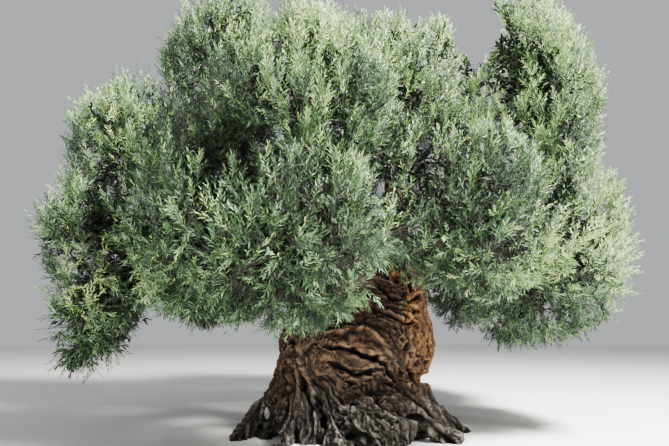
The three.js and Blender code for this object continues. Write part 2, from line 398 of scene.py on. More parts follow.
def tubes(lines, radii, sides):
    """Closed tapering tubes that run to a point, along many lines of equal length.

    lines is (tubes, points, 3), and radii is (tubes, points - 1).
    """
    count, points, _ = lines.shape
    if not count:
        return np.empty((0, 3)), np.empty((0, 3), int)
    tangent = np.concatenate([lines[:, 1:2] - lines[:, :1], lines[:, 2:] - lines[:, :-2]], axis=1)
    tangent = unit(tangent)
    whole = unit(lines[:, -1] - lines[:, 0])
    aside = np.where(np.abs(whole[:, 2:]) < STEEP, UP, RIGHT)
    first = unit(np.cross(tangent, aside[:, None, :]))
    second = np.cross(tangent, first)
    angle = 2 * math.pi * np.arange(sides) / sides
    ring = (
        first[:, :, None, :] * np.cos(angle)[:, None]
        + second[:, :, None, :] * np.sin(angle)[:, None]
    )
    rings = lines[:, :-1, None, :] + ring * radii[:, :, None, None]
    rings = rings.reshape(count, -1, 3)
    vertices = np.concatenate([rings, lines[:, -1:]], axis=1).reshape(-1, 3)
    here = np.arange(sides)
    after = (here + 1) % sides
    rows = np.arange(points - 2)[:, None] * sides
    last = (points - 2) * sides
    lower = np.stack([rows + here, rows + after, rows + sides + after], axis=-1).reshape(-1, 3)
    upper = np.stack([rows + here, rows + sides + after, rows + sides + here], axis=-1)
    point = np.stack([last + here, last + after, np.full(sides, last + sides)], axis=-1)
    fan = np.arange(1, sides - 1)
    cap = np.stack([0 * fan, fan + 1, fan], axis=-1)
    one = np.concatenate([lower, upper.reshape(-1, 3), point, cap])
    size = (points - 1) * sides + 1
    faces = (one[None] + (np.arange(count) * size)[:, None, None]).reshape(-1, 3)
    return vertices, faces


def merged_copy(name, node):
    """An object made of a copy of a CAD node, with the corners that meet joined."""
    form = bmesh.new()
    form.from_mesh(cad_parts[node].data)
    bmesh.ops.remove_doubles(form, verts=form.verts, dist=MERGE_DISTANCE)
    return bmesh_object(name, form)


def voxel_mesh(piece, size):
    """Replaces a piece's mesh by an even skin of small squares round it."""
    remesh = piece.modifiers.new("skin", "REMESH")
    remesh.mode = "VOXEL"
    remesh.voxel_size = size
    graph = bpy.context.evaluated_depsgraph_get()
    finished = bpy.data.meshes.new_from_object(piece.evaluated_get(graph))
    piece.modifiers.clear()
    old, piece.data = piece.data, finished
    bpy.data.meshes.remove(old)


def soften(piece, rounds):
    """Rounds off a piece's mesh."""
    form = bmesh.new()
    form.from_mesh(piece.data)
    for _ in range(rounds):
        bmesh.ops.smooth_vert(
            form, verts=form.verts, factor=0.5, use_axis_x=True, use_axis_y=True, use_axis_z=True
        )
    form.to_mesh(piece.data)
    form.free()


def neighbour_means(values, edges, rounds):
    """Values smoothed over a mesh's edges."""
    first, second = edges
    size = len(values)
    degree = np.bincount(first, minlength=size) + np.bincount(second, minlength=size)
    for _ in range(rounds):
        total = np.column_stack(
            [
                np.bincount(first, column[second], size) + np.bincount(second, column[first], size)
                for column in values.T
            ]
        )
        values = 0.5 * values + 0.5 * total / degree[:, None]
    return values


def store(mesh, name, values):
    """Keeps a number for each vertex, for the material to read."""
    layer = mesh.attributes.new(name, "FLOAT", "POINT")
    layer.data.foreach_set("value", values.astype(np.float32))


# Bark


class GrainGrid:
    """The grain's heading in small cells along a surface, so that it can be followed."""

    CELL = 0.05

    def __init__(self, points, normals, heading):
        self.low = points.min(axis=0) - 2 * self.CELL
        self.shape = np.ceil((points.max(axis=0) - self.low) / self.CELL).astype(int) + 2
        index = self.index(points)
        size = int(np.prod(self.shape))
        count = np.maximum(np.bincount(index, minlength=size), 1)[:, None]
        self.middle, self.normal, self.heading = (
            np.column_stack([np.bincount(index, column, size) for column in values.T]) / count
            for values in (points, normals, heading)
        )
        self.normal, self.heading = unit(self.normal), unit(self.heading)
        self.filled = np.bincount(index, minlength=size) > 0

    def index(self, points):
        """The number of the cell that each point lies in."""
        cell = ((points - self.low) / self.CELL).astype(int)
        cell = np.clip(cell, 0, self.shape - 1)
        return (cell[:, 0] * self.shape[1] + cell[:, 1]) * self.shape[2] + cell[:, 2]

    def paths(self, points, heading, step, count):
        """Places down and up the grain from each point, in order, with the point in the middle."""
        sides = []
        for sign in (-1, 1):
            place, way = points, heading
            side = []
            for _ in range(count):
                place = place + sign * step * way
                cell = self.index(place)
                filled = self.filled[cell][:, None]
                lift = dots(place - self.middle[cell], self.normal[cell]) * self.normal[cell]
                place = np.where(filled, place - lift, place)
                way = np.where(filled, self.heading[cell], way)
                side.append(place)
            sides.append(side)
        return [*reversed(sides[0]), points, *sides[1]]


# The grain is followed in steps of this length, and for this many each way
GRAIN_STEP = 0.038
GRAIN_REACH = 10

# Cords, folds, ropes and threads: their size, how many steps they are drawn out by each way and
# which of these are read, how far they stand out, and how their crests are rounded
FURROWS = [
    {"size": 0.24, "reach": GRAIN_REACH, "skip": 2, "height": 0.052, "power": 0.65},
    {"size": 0.1, "reach": 8, "skip": 2, "height": 0.032, "power": 0.6},
    {"size": 0.06, "reach": 6, "skip": 1, "height": 0.018, "power": 0.6},
    {"size": 0.034, "reach": 5, "skip": 1, "height": 0.01, "power": 0.7},
]
CREST_LIMIT = 2

# Relief is told from the surroundings after these rounds of smoothing, and the bark is painted with
# shade in its furrows and a highlight on its crests by it. Level bark has the level tone, and fine
# and coarse relief change it by these shares.
NEAR_ROUNDS = 8
FAR_ROUNDS = 70
LEVEL_TONE = 0.48
FINE_CONTRAST = 0.2
COARSE_CONTRAST = 0.13


def streaks(paths, size, reach, seed, skip=1):
    """Noise drawn out along the grain, for that many steps each way, with a spread of one."""
    middle = len(paths) // 2
    used = paths[middle - reach : middle + reach + 1 : skip]
    total = sum(noise(path, size, seed) for path in used)
    return total / total.std()


def bark_height(points, paths, scale):
    """How far furrowed bark stands out at each point: ever finer strands between cracks."""
    warp = 0.05 * scale * noise_vectors(points, 0.22 * scale, 31)
    bent = [path + warp for path in paths]
    height = np.zeros(len(points))
    for seed, strand in enumerate(FURROWS, start=1):
        drawn = streaks(bent, strand["size"] * scale, strand["reach"], seed, strand["skip"])
        crest = np.minimum(np.abs(drawn), CREST_LIMIT)
        height += strand["height"] * crest ** strand["power"]
    return scale * height


def painted_shade_and_highlight(mesh, moved, normals):
    """How far each point stands out from what is near it, as a share from 0 to 1, which the bark
    shows as painted shade in furrows and a painted highlight on crests.
    """
    edges = edges_of(mesh)
    near = neighbour_means(moved, edges, NEAR_ROUNDS)
    far = neighbour_means(near, edges, FAR_ROUNDS)
    fine = dots(moved - near, normals)[:, 0]
    coarse = dots(near - far, normals)[:, 0]
    tone = LEVEL_TONE + FINE_CONTRAST * fine / fine.std()
    tone += COARSE_CONTRAST * coarse / coarse.std()
    return np.clip(tone, 0, 1)


def finish_bark(mesh, moved, normals, rust, grey):
    """Sets the furrowed places of a bark mesh, and what its material reads."""
    store(mesh, "relief", painted_shade_and_highlight(mesh, moved, normals))
    mesh.vertices.foreach_set("co", moved.astype(np.float32).ravel())
    store(mesh, "rust", np.clip(rust, 0, 1))
    store(mesh, "grey", np.clip(grey, 0, 1))
    mesh.polygons.foreach_set("use_smooth", np.ones(len(mesh.polygons), bool))
    mesh.materials.clear()
    mesh.materials.append(bpy.data.materials.get("old_olive_bark") or old_olive_bark())
    mesh.update()


# Trunk

AXIS_HEIGHTS = np.array([0.1, 0.5, 0.9, 1.3, 1.7, 2.1, 2.5, 2.9, 3.3])
# What lies lower than this is the trunk's level foot, which is carried down to there
FOOT_LEVEL = 0.001
BELOW_GROUND = -0.15
# The trunk's pieces above its foot, and where each starts
TRUNK_PARTS = [("bark_buttress", 0.5), ("bark_body", 1.1), ("bark_neck", 1.9)]
# How far a point may lie from a level cut and still belong to it
CUT_SLACK = 1e-5
# The kind of flat triangulation that keeps only what its outlines enclose, and its precision
TRIANGLES_INSIDE = 1
OUTLINE_SLACK = 1e-6
# Bark rises into an opening by this share of its width there, less a margin. The width is felt
# for as far as the reach, from a little above the skin.
OPENING = {"share": 0.3, "margin": 0.08, "reach": 0.5, "above": 0.004}

# How far the bark's grain leans from upright, in degrees, by the compass angle from the front
# (0) towards the right (90). Going down, a positive lean runs to the right.
GRAIN_LEAN = [
    (-180, -14), (-135, -20), (-90, -12), (-55, -4), (-34, 14), (-14, 62), (12, 68), (34, 50),
    (60, 30), (95, 12), (140, -8), (180, -14),
]

# Long ridges and crevices in front: half width, how far each stands out, and the (x, z) points
# that it passes. The grain follows them as far off as the pull.
FRONT_LINES = [
    (0.05, 0.07, [(-0.8, 1.42), (-0.5, 1.68), (-0.1, 1.8), (0.33, 1.82), (0.6, 1.6),
                  (0.76, 1.38), (0.93, 1.08), (1.2, 0.68), (1.5, 0.36)]),
    (0.032, -0.16, [(-0.4, 1.56), (-0.18, 1.51), (0.17, 1.41), (0.53, 1.32), (0.66, 1.22),
                    (0.8, 0.95)]),
    (0.045, -0.16, [(0.1, 1.44), (0.3, 1.37), (0.52, 1.31)]),
    (0.04, -0.13, [(-0.25, 1.24), (-0.1, 1.17), (0.14, 1.07), (0.4, 1.1)]),
    (0.045, 0.06, [(-0.86, 1.32), (-0.64, 0.97), (-0.52, 0.74)]),
    (0.035, -0.12, [(-0.95, 1.6), (-0.84, 1.2), (-0.7, 0.85)]),
    (0.06, -0.22, [(0.45, 0.72), (0.87, 0.57), (1.26, 0.32), (1.66, 0.02)]),
    (0.04, 0.06, [(0.7, 0.86), (1.0, 0.66), (1.3, 0.42), (1.58, 0.2)]),
    (0.07, -0.16, [(0.02, 0.26), (0.16, 0.17), (0.32, 0.1)]),
    (0.05, -0.16, [(-0.5, 0.7), (-0.38, 0.4), (-0.42, 0.05)]),
    (0.05, -0.14, [(-1.0, 0.8), (-1.02, 0.5), (-1.2, 0.2)]),
    (0.04, -0.12, [(0.62, 2.6), (0.8, 2.36), (1.1, 2.3), (1.4, 2.4)]),
    (0.035, -0.09, [(0.5, 2.15), (0.8, 2.02), (1.15, 1.9)]),
    (0.04, -0.1, [(1.0, 1.95), (1.12, 1.6), (1.08, 1.2), (1.16, 0.9)]),
]
LINE_PULL = 0.17

# Knots in front, which the grain flows round: x and z, how big, and how deep the hole in each is
FRONT_KNOTS = [
    (0.05, 0.95, 0.12, 0.05),
    (0.42, 0.93, 0.1, 0.03),
    (1.2, 1.34, 0.1, 0.2),
    (1.02, 1.62, 0.07, 0.1),
    (1.28, 1.08, 0.06, 0.1),
    (-0.35, 1.2, 0.13, 0.02),
    (-0.1, 0.55, 0.11, 0.12),
    (0.95, 2.75, 0.14, 0.08),
    (-1.25, 0.62, 0.09, 0.1),
]
# A front knot sits on the foremost bark that is this near
KNOT_SEARCH = 0.05
# The knots elsewhere: how many, how far forward the bark may face, between which heights they
# lie, and their sizes and holes
OTHER_KNOTS = {
    "count": 22, "facing": -0.3, "heights": (0.25, 2.9), "sizes": (0.06, 0.16), "holes": (0.0, 0.14)
}
# The big burr at the foot, whose bark is shallow and pitted
BURL_CENTRE = (0.25, -1.8, 0.4)
BURL_RADIUS = 0.62


def trunk_axis(triangles):
    """The middle of the trunk at each of the axis heights."""
    return np.array([section(triangles, UP * height, UP)[0] for height in AXIS_HEIGHTS])


def rooted_skin(settings):
    """An even skin round the CAD trunk, its foot carried a little below the ground."""
    piece = merged_copy("bark_foot", "trunk")
    for vertex in piece.data.vertices:
        if vertex.co.z < FOOT_LEVEL:
            vertex.co.z = BELOW_GROUND
    voxel_mesh(piece, settings.voxel)
    soften(piece, settings.soften_rounds)
    return piece


def free_space(mesh, points, normals):
    """How far out from each point the way is clear, up to the reach."""
    form = bmesh.new()
    form.from_mesh(mesh)
    tree = BVHTree.FromBMesh(form)
    form.free()
    reach = OPENING["reach"]
    clear = np.full(len(points), reach)
    for index, (point, normal) in enumerate(zip(points + OPENING["above"] * normals, normals)):
        distance = tree.ray_cast(Vector(point), Vector(normal), reach)[3]
        if distance is not None:
            clear[index] = distance
    return clear


def line_gap(points, line):
    """How far points lie from a line, and the line's way where each is nearest."""
    nearest = np.full(len(points), FAR_OFF)
    way = np.zeros_like(points)
    for start, end in itertools.pairwise(np.array(line)):
        step = end - start
        share = np.clip((points - start) @ step / (step @ step), 0, 1)
        gap = np.linalg.norm(points - start - share[:, None] * step, axis=1)
        closer = gap < nearest
        nearest[closer] = gap[closer]
        way[closer] = step / np.linalg.norm(step)
    return nearest, way


def burl_share(points):
    """How far each point belongs to the big burr, from 0 to 1."""
    return bell(np.linalg.norm(points - BURL_CENTRE, axis=1), BURL_RADIUS)


def knots_of(points, normals, random):
    """The middle, size and hole of each knot on the trunk."""
    knots = []
    for x, z, size, hole in FRONT_KNOTS:
        near = points[np.hypot(points[:, 0] - x, points[:, 2] - z) < KNOT_SEARCH]
        knots.append((near[near[:, 1].argmin()], size, hole))
    low, high = OTHER_KNOTS["heights"]
    within = (points[:, 2] > low) & (points[:, 2] < high)
    behind = np.flatnonzero((normals[:, 1] > OTHER_KNOTS["facing"]) & within)
    for index in random.choice(behind, OTHER_KNOTS["count"], replace=False):
        size = random.uniform(*OTHER_KNOTS["sizes"])
        knots.append((points[index], size, random.uniform(*OTHER_KNOTS["holes"])))
    return knots


def surface_gap(points, normals, centre):
    """The way along the surface from a centre to each point, and how far it is."""
    away = points - centre
    return laid_along(away, normals), np.linalg.norm(away, axis=1)


def grain_heading(points, normals, axis, knots):
    """The way that the trunk's bark runs at each point, along its surface."""
    centre = np.column_stack([np.interp(points[:, 2], AXIS_HEIGHTS, axis[:, k]) for k in range(2)])
    out = unit(np.column_stack([points[:, :2] - centre, np.zeros(len(points))]))
    right = np.cross(UP, out)
    compass = np.degrees(np.arctan2(out[:, 0], -out[:, 1]))
    lean = np.interp(compass, *zip(*GRAIN_LEAN))
    # Close to the ground and up at the fork it leans less
    lean *= 0.3 + 0.7 * smooth_step(0.15, 0.9, points[:, 2])
    lean *= 1 - 0.6 * smooth_step(2.2, 2.8, points[:, 2])
    # Wide and narrow waves, in degrees
    lean += 30 * noise(points, 0.9, 5) + 34 * noise(points, 0.38, 6)
    lean = np.radians(lean)[:, None]
    heading = np.cos(lean) * UP - np.sin(lean) * right
    facing = smooth_step(0.1, -0.4, normals[:, 1])
    for _, _, line in FRONT_LINES:
        gap, way = line_gap(points[:, [0, 2]], line)
        way = np.column_stack([way[:, 0], np.zeros(len(points)), way[:, 1]])
        way *= np.where(dots(way, heading) < 0, -1, 1)
        weight = (facing * bell(gap, LINE_PULL))[:, None]
        heading = heading * (1 - weight) + way * weight
    heading = laid_along(heading, normals)
    # It parts before each knot and closes behind it, as water does round a stone
    for place, size, _ in knots:
        away, gap = surface_gap(points, normals, place)
        share = np.minimum((size / np.maximum(gap, 1e-6)) ** 2, 1)[:, None]
        share = np.where(gap[:, None] < 4 * size, share, 0)
        heading = heading - share * (2 * dots(heading, away) * away - heading)
        heading = laid_along(heading, normals)
    return heading


def feature_height(points, normals, paths, knots):
    """How far the trunk's ridges, crevices, knots and pits stand out at each point."""
    facing = smooth_step(0.15, -0.25, normals[:, 1])
    # Ridges, crevices and rims wander, and vary in width
    wander = 1 + 0.45 * noise(points, 0.13, 71)
    flat = points[:, [0, 2]] + 0.03 * noise_vectors(points, 0.16, 73)[:, :2]
    height = np.zeros(len(points))
    for width, rise, line in FRONT_LINES:
        gap, _ = line_gap(flat, line)
        height += rise * facing * bell(gap, width * wander)
    # A knot is a hole with a low rim round it
    for place, size, hole in knots:
        gap = surface_gap(points, normals, place)[1] + 0.25 * size * (wander - 1)
        height += hole * (0.2 * bell(gap - size, 0.4 * size) - bell(gap, 0.55 * size))
    # The wood is pitted on the right above the roots, on the burr, and in patches elsewhere
    pitted = smooth_step(0.75, 1.25, points[:, 0]) * smooth_step(0.7, 1.0, points[:, 2])
    burl = burl_share(points)
    pitted = np.maximum(pitted, np.minimum(1, 1.5 * burl))
    patches = smooth_step(0.2, 0.55, noise(points, 0.7, 75))
    pitted = np.maximum(pitted, 0.8 * patches * smooth_step(0.6, 0.9, points[:, 2]))
    # Pits are long holes between the grain's threads, and the burr's are smaller and rounder
    warp = 0.025 * noise_vectors(points, 0.08, 76)
    bent = [path + warp for path in paths]
    holes = smooth_step(0.9, 1.7, streaks(bent, 0.11, 3, 79)) * (1 - 0.8 * burl)
    pores = smooth_step(0.3, 1.1, streaks(bent, 0.055, 1, 80))
    return height - pitted * (0.11 * holes + 0.04 * pores)


def runs_round(point, starts, ends):
    """True if the edges of an outline, each with its start and end, run round a flat point."""
    rise = (starts[:, 1] <= point[1]).astype(int) - (ends[:, 1] <= point[1])
    step, away = ends - starts, point - starts
    side = step[:, 0] * away[:, 1] - step[:, 1] * away[:, 0]
    return rise[rise * side > 0].sum() != 0


def close_rims(form, rims, height, above):
    """Closes a level cut by flat faces inside its rims, which may touch or cross."""
    loops = [edge.link_loops[0] for edge in rims]
    starts = np.array([loop.vert.co.xy for loop in loops])
    ends = np.array([loop.link_loop_next.vert.co.xy for loop in loops])
    flat = [Vector(place) for place in np.concatenate([starts, ends])]
    joined = [(index, index + len(rims)) for index in range(len(rims))]
    places, _, triangles, *_ = delaunay_2d_cdt(flat, joined, [], TRIANGLES_INSIDE, OUTLINE_SLACK)
    corners = [form.verts.new((*place, height)) for place in places]
    for triangle in triangles:
        middle = np.mean([places[index] for index in triangle], axis=0)
        if runs_round(middle, starts, ends):
            order = reversed(triangle) if above else triangle
            form.faces.new([corners[index] for index in order]).smooth = False
    unused = [corner for corner in corners if not corner.link_faces]
    bmesh.ops.delete(form, geom=unused, context="VERTS")
    met = [vert for vert in form.verts if abs(vert.co.z - height) < CUT_SLACK]
    bmesh.ops.remove_doubles(form, verts=met, dist=CUT_SLACK)


def cut_level(piece, height, above):
    """Cuts a piece flat at a height, keeps what lies above or below, and closes it."""
    form = bmesh.new()
    form.from_mesh(piece.data)
    bmesh.ops.bisect_plane(
        form, geom=[*form.verts, *form.edges, *form.faces], dist=CUT_SLACK,
        plane_co=(0, 0, height), plane_no=(0, 0, 1), clear_inner=above, clear_outer=not above,
    )
    rims = [
        edge
        for edge in form.edges
        if edge.is_boundary and all(abs(vert.co.z - height) < CUT_SLACK for vert in edge.verts)
    ]
    for edge in rims:
        edge.smooth = False
    close_rims(form, rims, height, above)
    form.to_mesh(piece.data)
    form.free()


def part_above(piece, name, height):
    """Makes what lies above a height a piece of its own, and closes both."""
    upper = piece.copy()
    upper.data = piece.data.copy()
    upper.name = upper.data.name = name
    link(upper)
    cut_level(piece, height, above=False)
    cut_level(upper, height, above=True)
    return upper


def model_trunk(settings):
    """The trunk's bark: a skin round the CAD trunk, furrowed along its grain."""
    random = np.random.default_rng(settings.seed)
    axis = trunk_axis(triangles_of("trunk"))
    piece = rooted_skin(settings)
    mesh = piece.data
    points, normals = corners_of(mesh), normals_of(mesh)
    knots = knots_of(points, normals, random)
    heading = grain_heading(points, normals, axis, knots)
    grid = GrainGrid(points, normals, heading)
    paths = grid.paths(points, heading, GRAIN_STEP, GRAIN_REACH)
    # Furrows are deepest at the foot, and shallow on the burr
    depth = 1 + 0.4 * smooth_step(1.1, 0.5, points[:, 2]) - 0.6 * burl_share(points)
    height = settings.relief * depth * bark_height(points, paths, 1.0) - settings.sink * depth
    height += feature_height(points, normals, paths, knots)
    # Narrow places stay nearly as open as the solid has them
    clear = free_space(mesh, points, normals)
    height = np.minimum(height, OPENING["share"] * np.maximum(clear - OPENING["margin"], 0))
    moved = points + normals * height[:, None]
    # The wood is rusty on the right and in a few patches, and ashen near the ground, where the dark
    # ashen colours are partly painted shade
    patch = noise(points, 0.6, 12)
    rust = smooth_step(0.85, 1.3, points[:, 0] + 0.3 * patch) * smooth_step(0.6, 1.0, points[:, 2])
    rust = rust * (0.35 + 0.65 * smooth_step(-0.3, 0.3, noise(points, 0.35, 13)))
    rust = rust + 0.3 * smooth_step(0.1, 0.5, patch) * smooth_step(0.8, 1.4, points[:, 2])
    grey = 0.9 * smooth_step(1.05, 0.45, points[:, 2] + 0.25 * patch)
    finish_bark(mesh, moved, normals, rust, grey)
    cut_level(piece, 0, above=True)
    pieces = [piece]
    for name, low in TRUNK_PARTS:
        pieces.append(part_above(pieces[-1], name, low))
    for piece in pieces:
        declare(piece, BARK_SLOT, "trunk")


# Boughs

MASSES = sorted(name[len("foliage_") :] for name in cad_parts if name.startswith("foliage_"))
BOUGHS = sorted(name[len("bough_") :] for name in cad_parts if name.startswith("bough_"))
# The masses that have no bough of their own grow from a neighbour's
HOST_BOUGH = {
    "inner_left": "upper_left",
    "inner_right": "right_upper",
    "left_skirt": "left_lower",
}
HEART_OF_WOOD = np.array([0.3, 0.1, 2.6])
BOUGH_STATIONS = 6
# A bough's line starts this many radii back in the wood, where it is this many times as thick
BACK_RADII = 1.1
BACK_SWELL = 1.12
# It runs on this far into its mass, where this share of its thickness is left
ONWARD_REACH = 0.45
ONWARD_TAPER = 0.86
# The core is this many times as thick as the solid, and its bark is this ashen
CORE_SWELL = 1.02
BOUGH_GREY = 0.25


def bough_line(name):
    """A bough's middle line, carried back into the wood and on into its mass, and its radii."""
    triangles = triangles_of(f"bough_{name}")
    corners = triangles.reshape(-1, 3)
    middle = corners.mean(axis=0)
    axis = np.linalg.svd(corners - middle, full_matrices=False)[2][0]
    if (middle - HEART_OF_WOOD) @ axis < 0:
        axis = -axis
    along = (corners - middle) @ axis
    places = np.linspace(along.min(), along.max(), BOUGH_STATIONS + 2)[1:-1]
    found = [section(triangles, middle + axis * place, axis) for place in places]
    line = np.array([centre for centre, _ in found])
    radii = np.array([radius for _, radius in found])
    back = line[0] - BACK_RADII * radii[0] * unit(line[1] - line[0])
    onward = line[-1] + ONWARD_REACH * unit(line[-1] - line[-2])
    line = np.vstack([back, line, onward])
    return line, np.concatenate([[radii[0] * BACK_SWELL], radii, [radii[-1] * ONWARD_TAPER]])


def station(place, way, radius):
    """The matrix that sets a unit circle across a bough."""
    turn = Vector(way).to_track_quat("Z", "Y").to_matrix().to_4x4()
    return Matrix.Translation(place) @ turn @ Matrix.Scale(radius, 4)


def bough_core(form, line, radii, sides):
    """One bough's closed core, extruded along its middle line."""
    ways = unit(np.gradient(line, axis=0))
    matrices = [station(*values) for values in zip(line, ways, radii)]
    circle = bmesh.ops.create_circle(
        form, cap_ends=True, segments=sides, radius=1, matrix=matrices[0]
    )
    face = circle["verts"][0].link_faces[0]
    for last, here in itertools.pairwise(matrices):
        grown = bmesh.ops.extrude_face_region(form, geom=[face])["geom"]
        face = next(part for part in grown if isinstance(part, bmesh.types.BMFace))
        bmesh.ops.transform(form, matrix=here @ last.inverted(), verts=face.verts)


def model_boughs(settings):
    """The boughs from the wood to the masses, in one skin that is furrowed along each bough."""
    lines = {name: bough_line(name) for name in BOUGHS}
    form = bmesh.new()
    for line, radii in lines.values():
        bough_core(form, line, radii * CORE_SWELL, settings.bough_sides)
    bmesh.ops.recalc_face_normals(form, faces=form.faces)
    piece = bmesh_object("bark_boughs", form)
    voxel_mesh(piece, settings.bough_voxel)
    soften(piece, SKIN_ROUNDS)
    mesh = piece.data
    points, normals = corners_of(mesh), normals_of(mesh)
    nearest = np.full(len(points), FAR_OFF)
    heading = np.tile(UP, (len(points), 1))
    for line, _ in lines.values():
        gap, way = line_gap(points, line)
        closer = gap < nearest
        nearest[closer] = gap[closer]
        heading[closer] = way[closer]
    heading = laid_along(heading + 0.5 * noise_vectors(points, 0.4, 21), normals)
    paths = GrainGrid(points, normals, heading).paths(points, heading, GRAIN_STEP, GRAIN_REACH)
    scale = settings.bough_scale
    height = settings.relief * bark_height(points, paths, scale) - settings.sink * scale
    moved = points + normals * height[:, None]
    rust, grey = np.zeros(len(points)), np.full(len(points), BOUGH_GREY)
    finish_bark(mesh, moved, normals, rust, grey)
    declare(piece, BARK_SLOT, *[f"bough_{name}" for name in BOUGHS])


# Crown

GOLDEN_TURN = math.radians(137.5)
SUN_WAY = unit(np.array([0.5, -0.3, 0.8]))

# The crown's skin bridges grooves up to twice this wide, and this is the size of its squares
BRIDGE_REACH = 0.42
SKIN_VOXEL = 0.1

# Patches of painted light and painted shade on the crown: the middle of each place, about how far
# it reaches, and how much brighter its plumes are painted, or darker below zero
PAINTED_LIGHT_AND_SHADE = [
    ((-0.5, -2.6, 6.3), 1.2, 0.4),
    ((4.1, -2.0, 3.1), 1.1, 0.7),
    ((1.8, -2.6, 2.6), 0.8, 0.4),
    ((3.4, -0.3, 7.6), 1.9, 0.25),
    ((-3.5, -2.1, 2.5), 0.9, 0.7),
    ((-1.75, -3.3, 4.4), 0.7, 0.35),
    ((-2.5, -1.0, 7.0), 1.3, -0.85),
    ((-2.5, -3.1, 5.2), 0.65, -0.7),
    ((-1.75, -3.4, 5.6), 0.45, -0.7),
    ((-2.8, -3.1, 3.9), 0.9, -0.45),
    ((-0.7, -4.0, 3.8), 0.8, -0.55),
    ((0.5, -3.0, 5.7), 0.8, -0.6),
    ((0.7, -3.5, 3.0), 0.6, -0.35),
    ((2.4, -2.9, 4.3), 1.1, -0.6),
    ((3.5, -1.5, 2.1), 0.5, -0.5),
]

# Gaps right through the crown: the line that each runs along, and about how far it reaches
CROWN_GAPS = [
    ([(2.3, -2.0, 6.9), (3.8, 3.0, 10.0)], 0.5),
    ([(0.44, -3.5, 3.62), (1.05, 3.0, 5.49)], 0.12),
]

# Leaf tints: plain colours, from painted shade for the dark inside to a painted highlight for the
# sunlit tips
LEAF_TINTS = [
    ("leaf_painted_shade", 0x0F1A0B, 0.6),
    ("leaf_green", 0x294720, 0.5),
    ("leaf_grey_green", 0x46693C, 0.5),
    ("leaf_silver", 0x7C9B76, 0.5),
    ("leaf_olive", 0x65833D, 0.5),
    ("leaf_painted_highlight", 0xABC180, 0.45),
]
PAINTED_SHADE, GREEN, GREY_GREEN, SILVER, OLIVE, PAINTED_HIGHLIGHT = range(len(LEAF_TINTS))

# The outer plumes, and the plain leafy twigs inside, whose dark leaves are painted shade: how many
# side shoots each has and how many pairs of leaves each shoot, the length of a shoot and of a leaf,
# a leaf's width as a share of its length, and how far the shoots open, in degrees
OUTER = {"shoots": 6, "pairs": 6, "shoot": 0.29, "leaf": 0.1, "slim": 0.16, "spread": 34}
INNER = {"shoots": 3, "pairs": 3, "shoot": 0.3, "leaf": 0.18, "slim": 0.36, "spread": 65}
INNER_LENGTH = 0.45

# How strongly plumes rise, and how far their ends turn up, by their height in the crown
RISE_BY_HEIGHT = ((1.0, 2.3, 3.0, 4.0, 5.5, 8.0), (-0.6, -0.3, 0.15, 0.5, 0.75, 0.95))
CURL_BY_HEIGHT = ((1.0, 3.2, 4.6, 6.0), (0.95, 0.75, 0.3, 0.1))

# How far up its stem each part of a plume's leader starts and ends, and where the stem bends
LEADER = [(0.3, 0.66), (0.66, 1.04)]
STEM_BEND = 0.55
STEM_RADII = np.array([0.0075, 0.0055, 0.0035])
SHOOT_RADIUS = 0.003

# A group of this many plumes or fewer grows from one place, and one of more than this many is fed
# by a limb that stops halfway to it
TWIG_GROUP = 3
LARGE_GROUP = 30

# The number of sides of limbs thicker than each of these radii, of thinner ones, and of twigs
LIMB_SIDES = {8: 0.05, 6: 0.022}
THIN_SIDES = 4
TWIG_SIDES = 3


def crown_skin(triangles):
    """The triangles of one smooth skin round the whole crown, across the grooves between masses.

    The crown is swelled, which closes the grooves, and shrunk again by as much.
    """
    corners = triangles.reshape(-1, 3)
    piece = mesh_object("crown_skin", corners, np.arange(len(corners)).reshape(-1, 3), [])
    for shift in (BRIDGE_REACH, -BRIDGE_REACH):
        voxel_mesh(piece, SKIN_VOXEL)
        soften(piece, SKIN_ROUNDS)
        moved = corners_of(piece.data) + shift * normals_of(piece.data)
        piece.data.vertices.foreach_set("co", moved.astype(np.float32).ravel())
        piece.data.update()
    mesh = piece.data
    skin = triangles_in(mesh)
    bpy.data.objects.remove(piece)
    bpy.data.meshes.remove(mesh)
    return skin


class Crown:
    """The crown's outer skin, and the mass that each place on it belongs to."""

    def __init__(self):
        solids = [triangles_of(f"foliage_{mass}") for mass in MASSES]
        everything = np.concatenate(solids)
        self.masses = search_tree(everything)
        self.mass_of_triangle = np.repeat(MASSES, [len(solid) for solid in solids])
        self.skin = crown_skin(everything)
        self.skin_tree = search_tree(self.skin)

    def holds(self, points):
        """Which points lie inside the skin."""
        found = []
        for point in map(Vector, points):
            place, normal, *_ = self.skin_tree.find_nearest(point)
            found.append((point - place).dot(normal) < 0)
        return np.array(found, bool)

    def thickness(self, places, outward):
        """How far the other side of the crown is behind each place on the skin."""
        found = []
        for place, out in zip(places - 0.01 * outward, outward):
            distance = self.skin_tree.ray_cast(Vector(place), Vector(-out))[3]
            found.append(FAR_OFF if distance is None else distance)
        return np.array(found)[:, None]

    def strewn(self, per_area, seed):
        """Places strewn over the skin: the way out, mass, groove and thickness at each."""
        places, outward = surface_points(self.skin, per_area, np.random.default_rng(seed))
        nearest = [self.masses.find_nearest(Vector(place)) for place in places]
        gap = np.array([distance for *_, distance in nearest])[:, None]
        return {
            "place": places,
            "out": outward,
            "mass": self.mass_of_triangle[[index for _, _, index, _ in nearest]],
            "groove": smooth_step(0.06, 0.32, gap),
            "thickness": self.thickness(places, outward),
        }


def surface_points(triangles, per_area, random):
    """Random points on some triangles, with the outward normal at each."""
    across = np.cross(triangles[:, 1] - triangles[:, 0], triangles[:, 2] - triangles[:, 0])
    area = np.linalg.norm(across, axis=1) / 2
    count = int(area.sum() * per_area)
    chosen = random.choice(len(triangles), size=count, p=area / area.sum())
    first, second = random.random((2, count, 1))
    over = first + second > 1
    first, second = np.where(over, 1 - first, first), np.where(over, 1 - second, second)
    base = triangles[chosen]
    places = base[:, 0] + first * (base[:, 1] - base[:, 0]) + second * (base[:, 2] - base[:, 0])
    return places, unit(across[chosen])


def rows_of(table, kept):
    """The rows of a table of arrays that are kept."""
    return {name: values[kept] for name, values in table.items()}


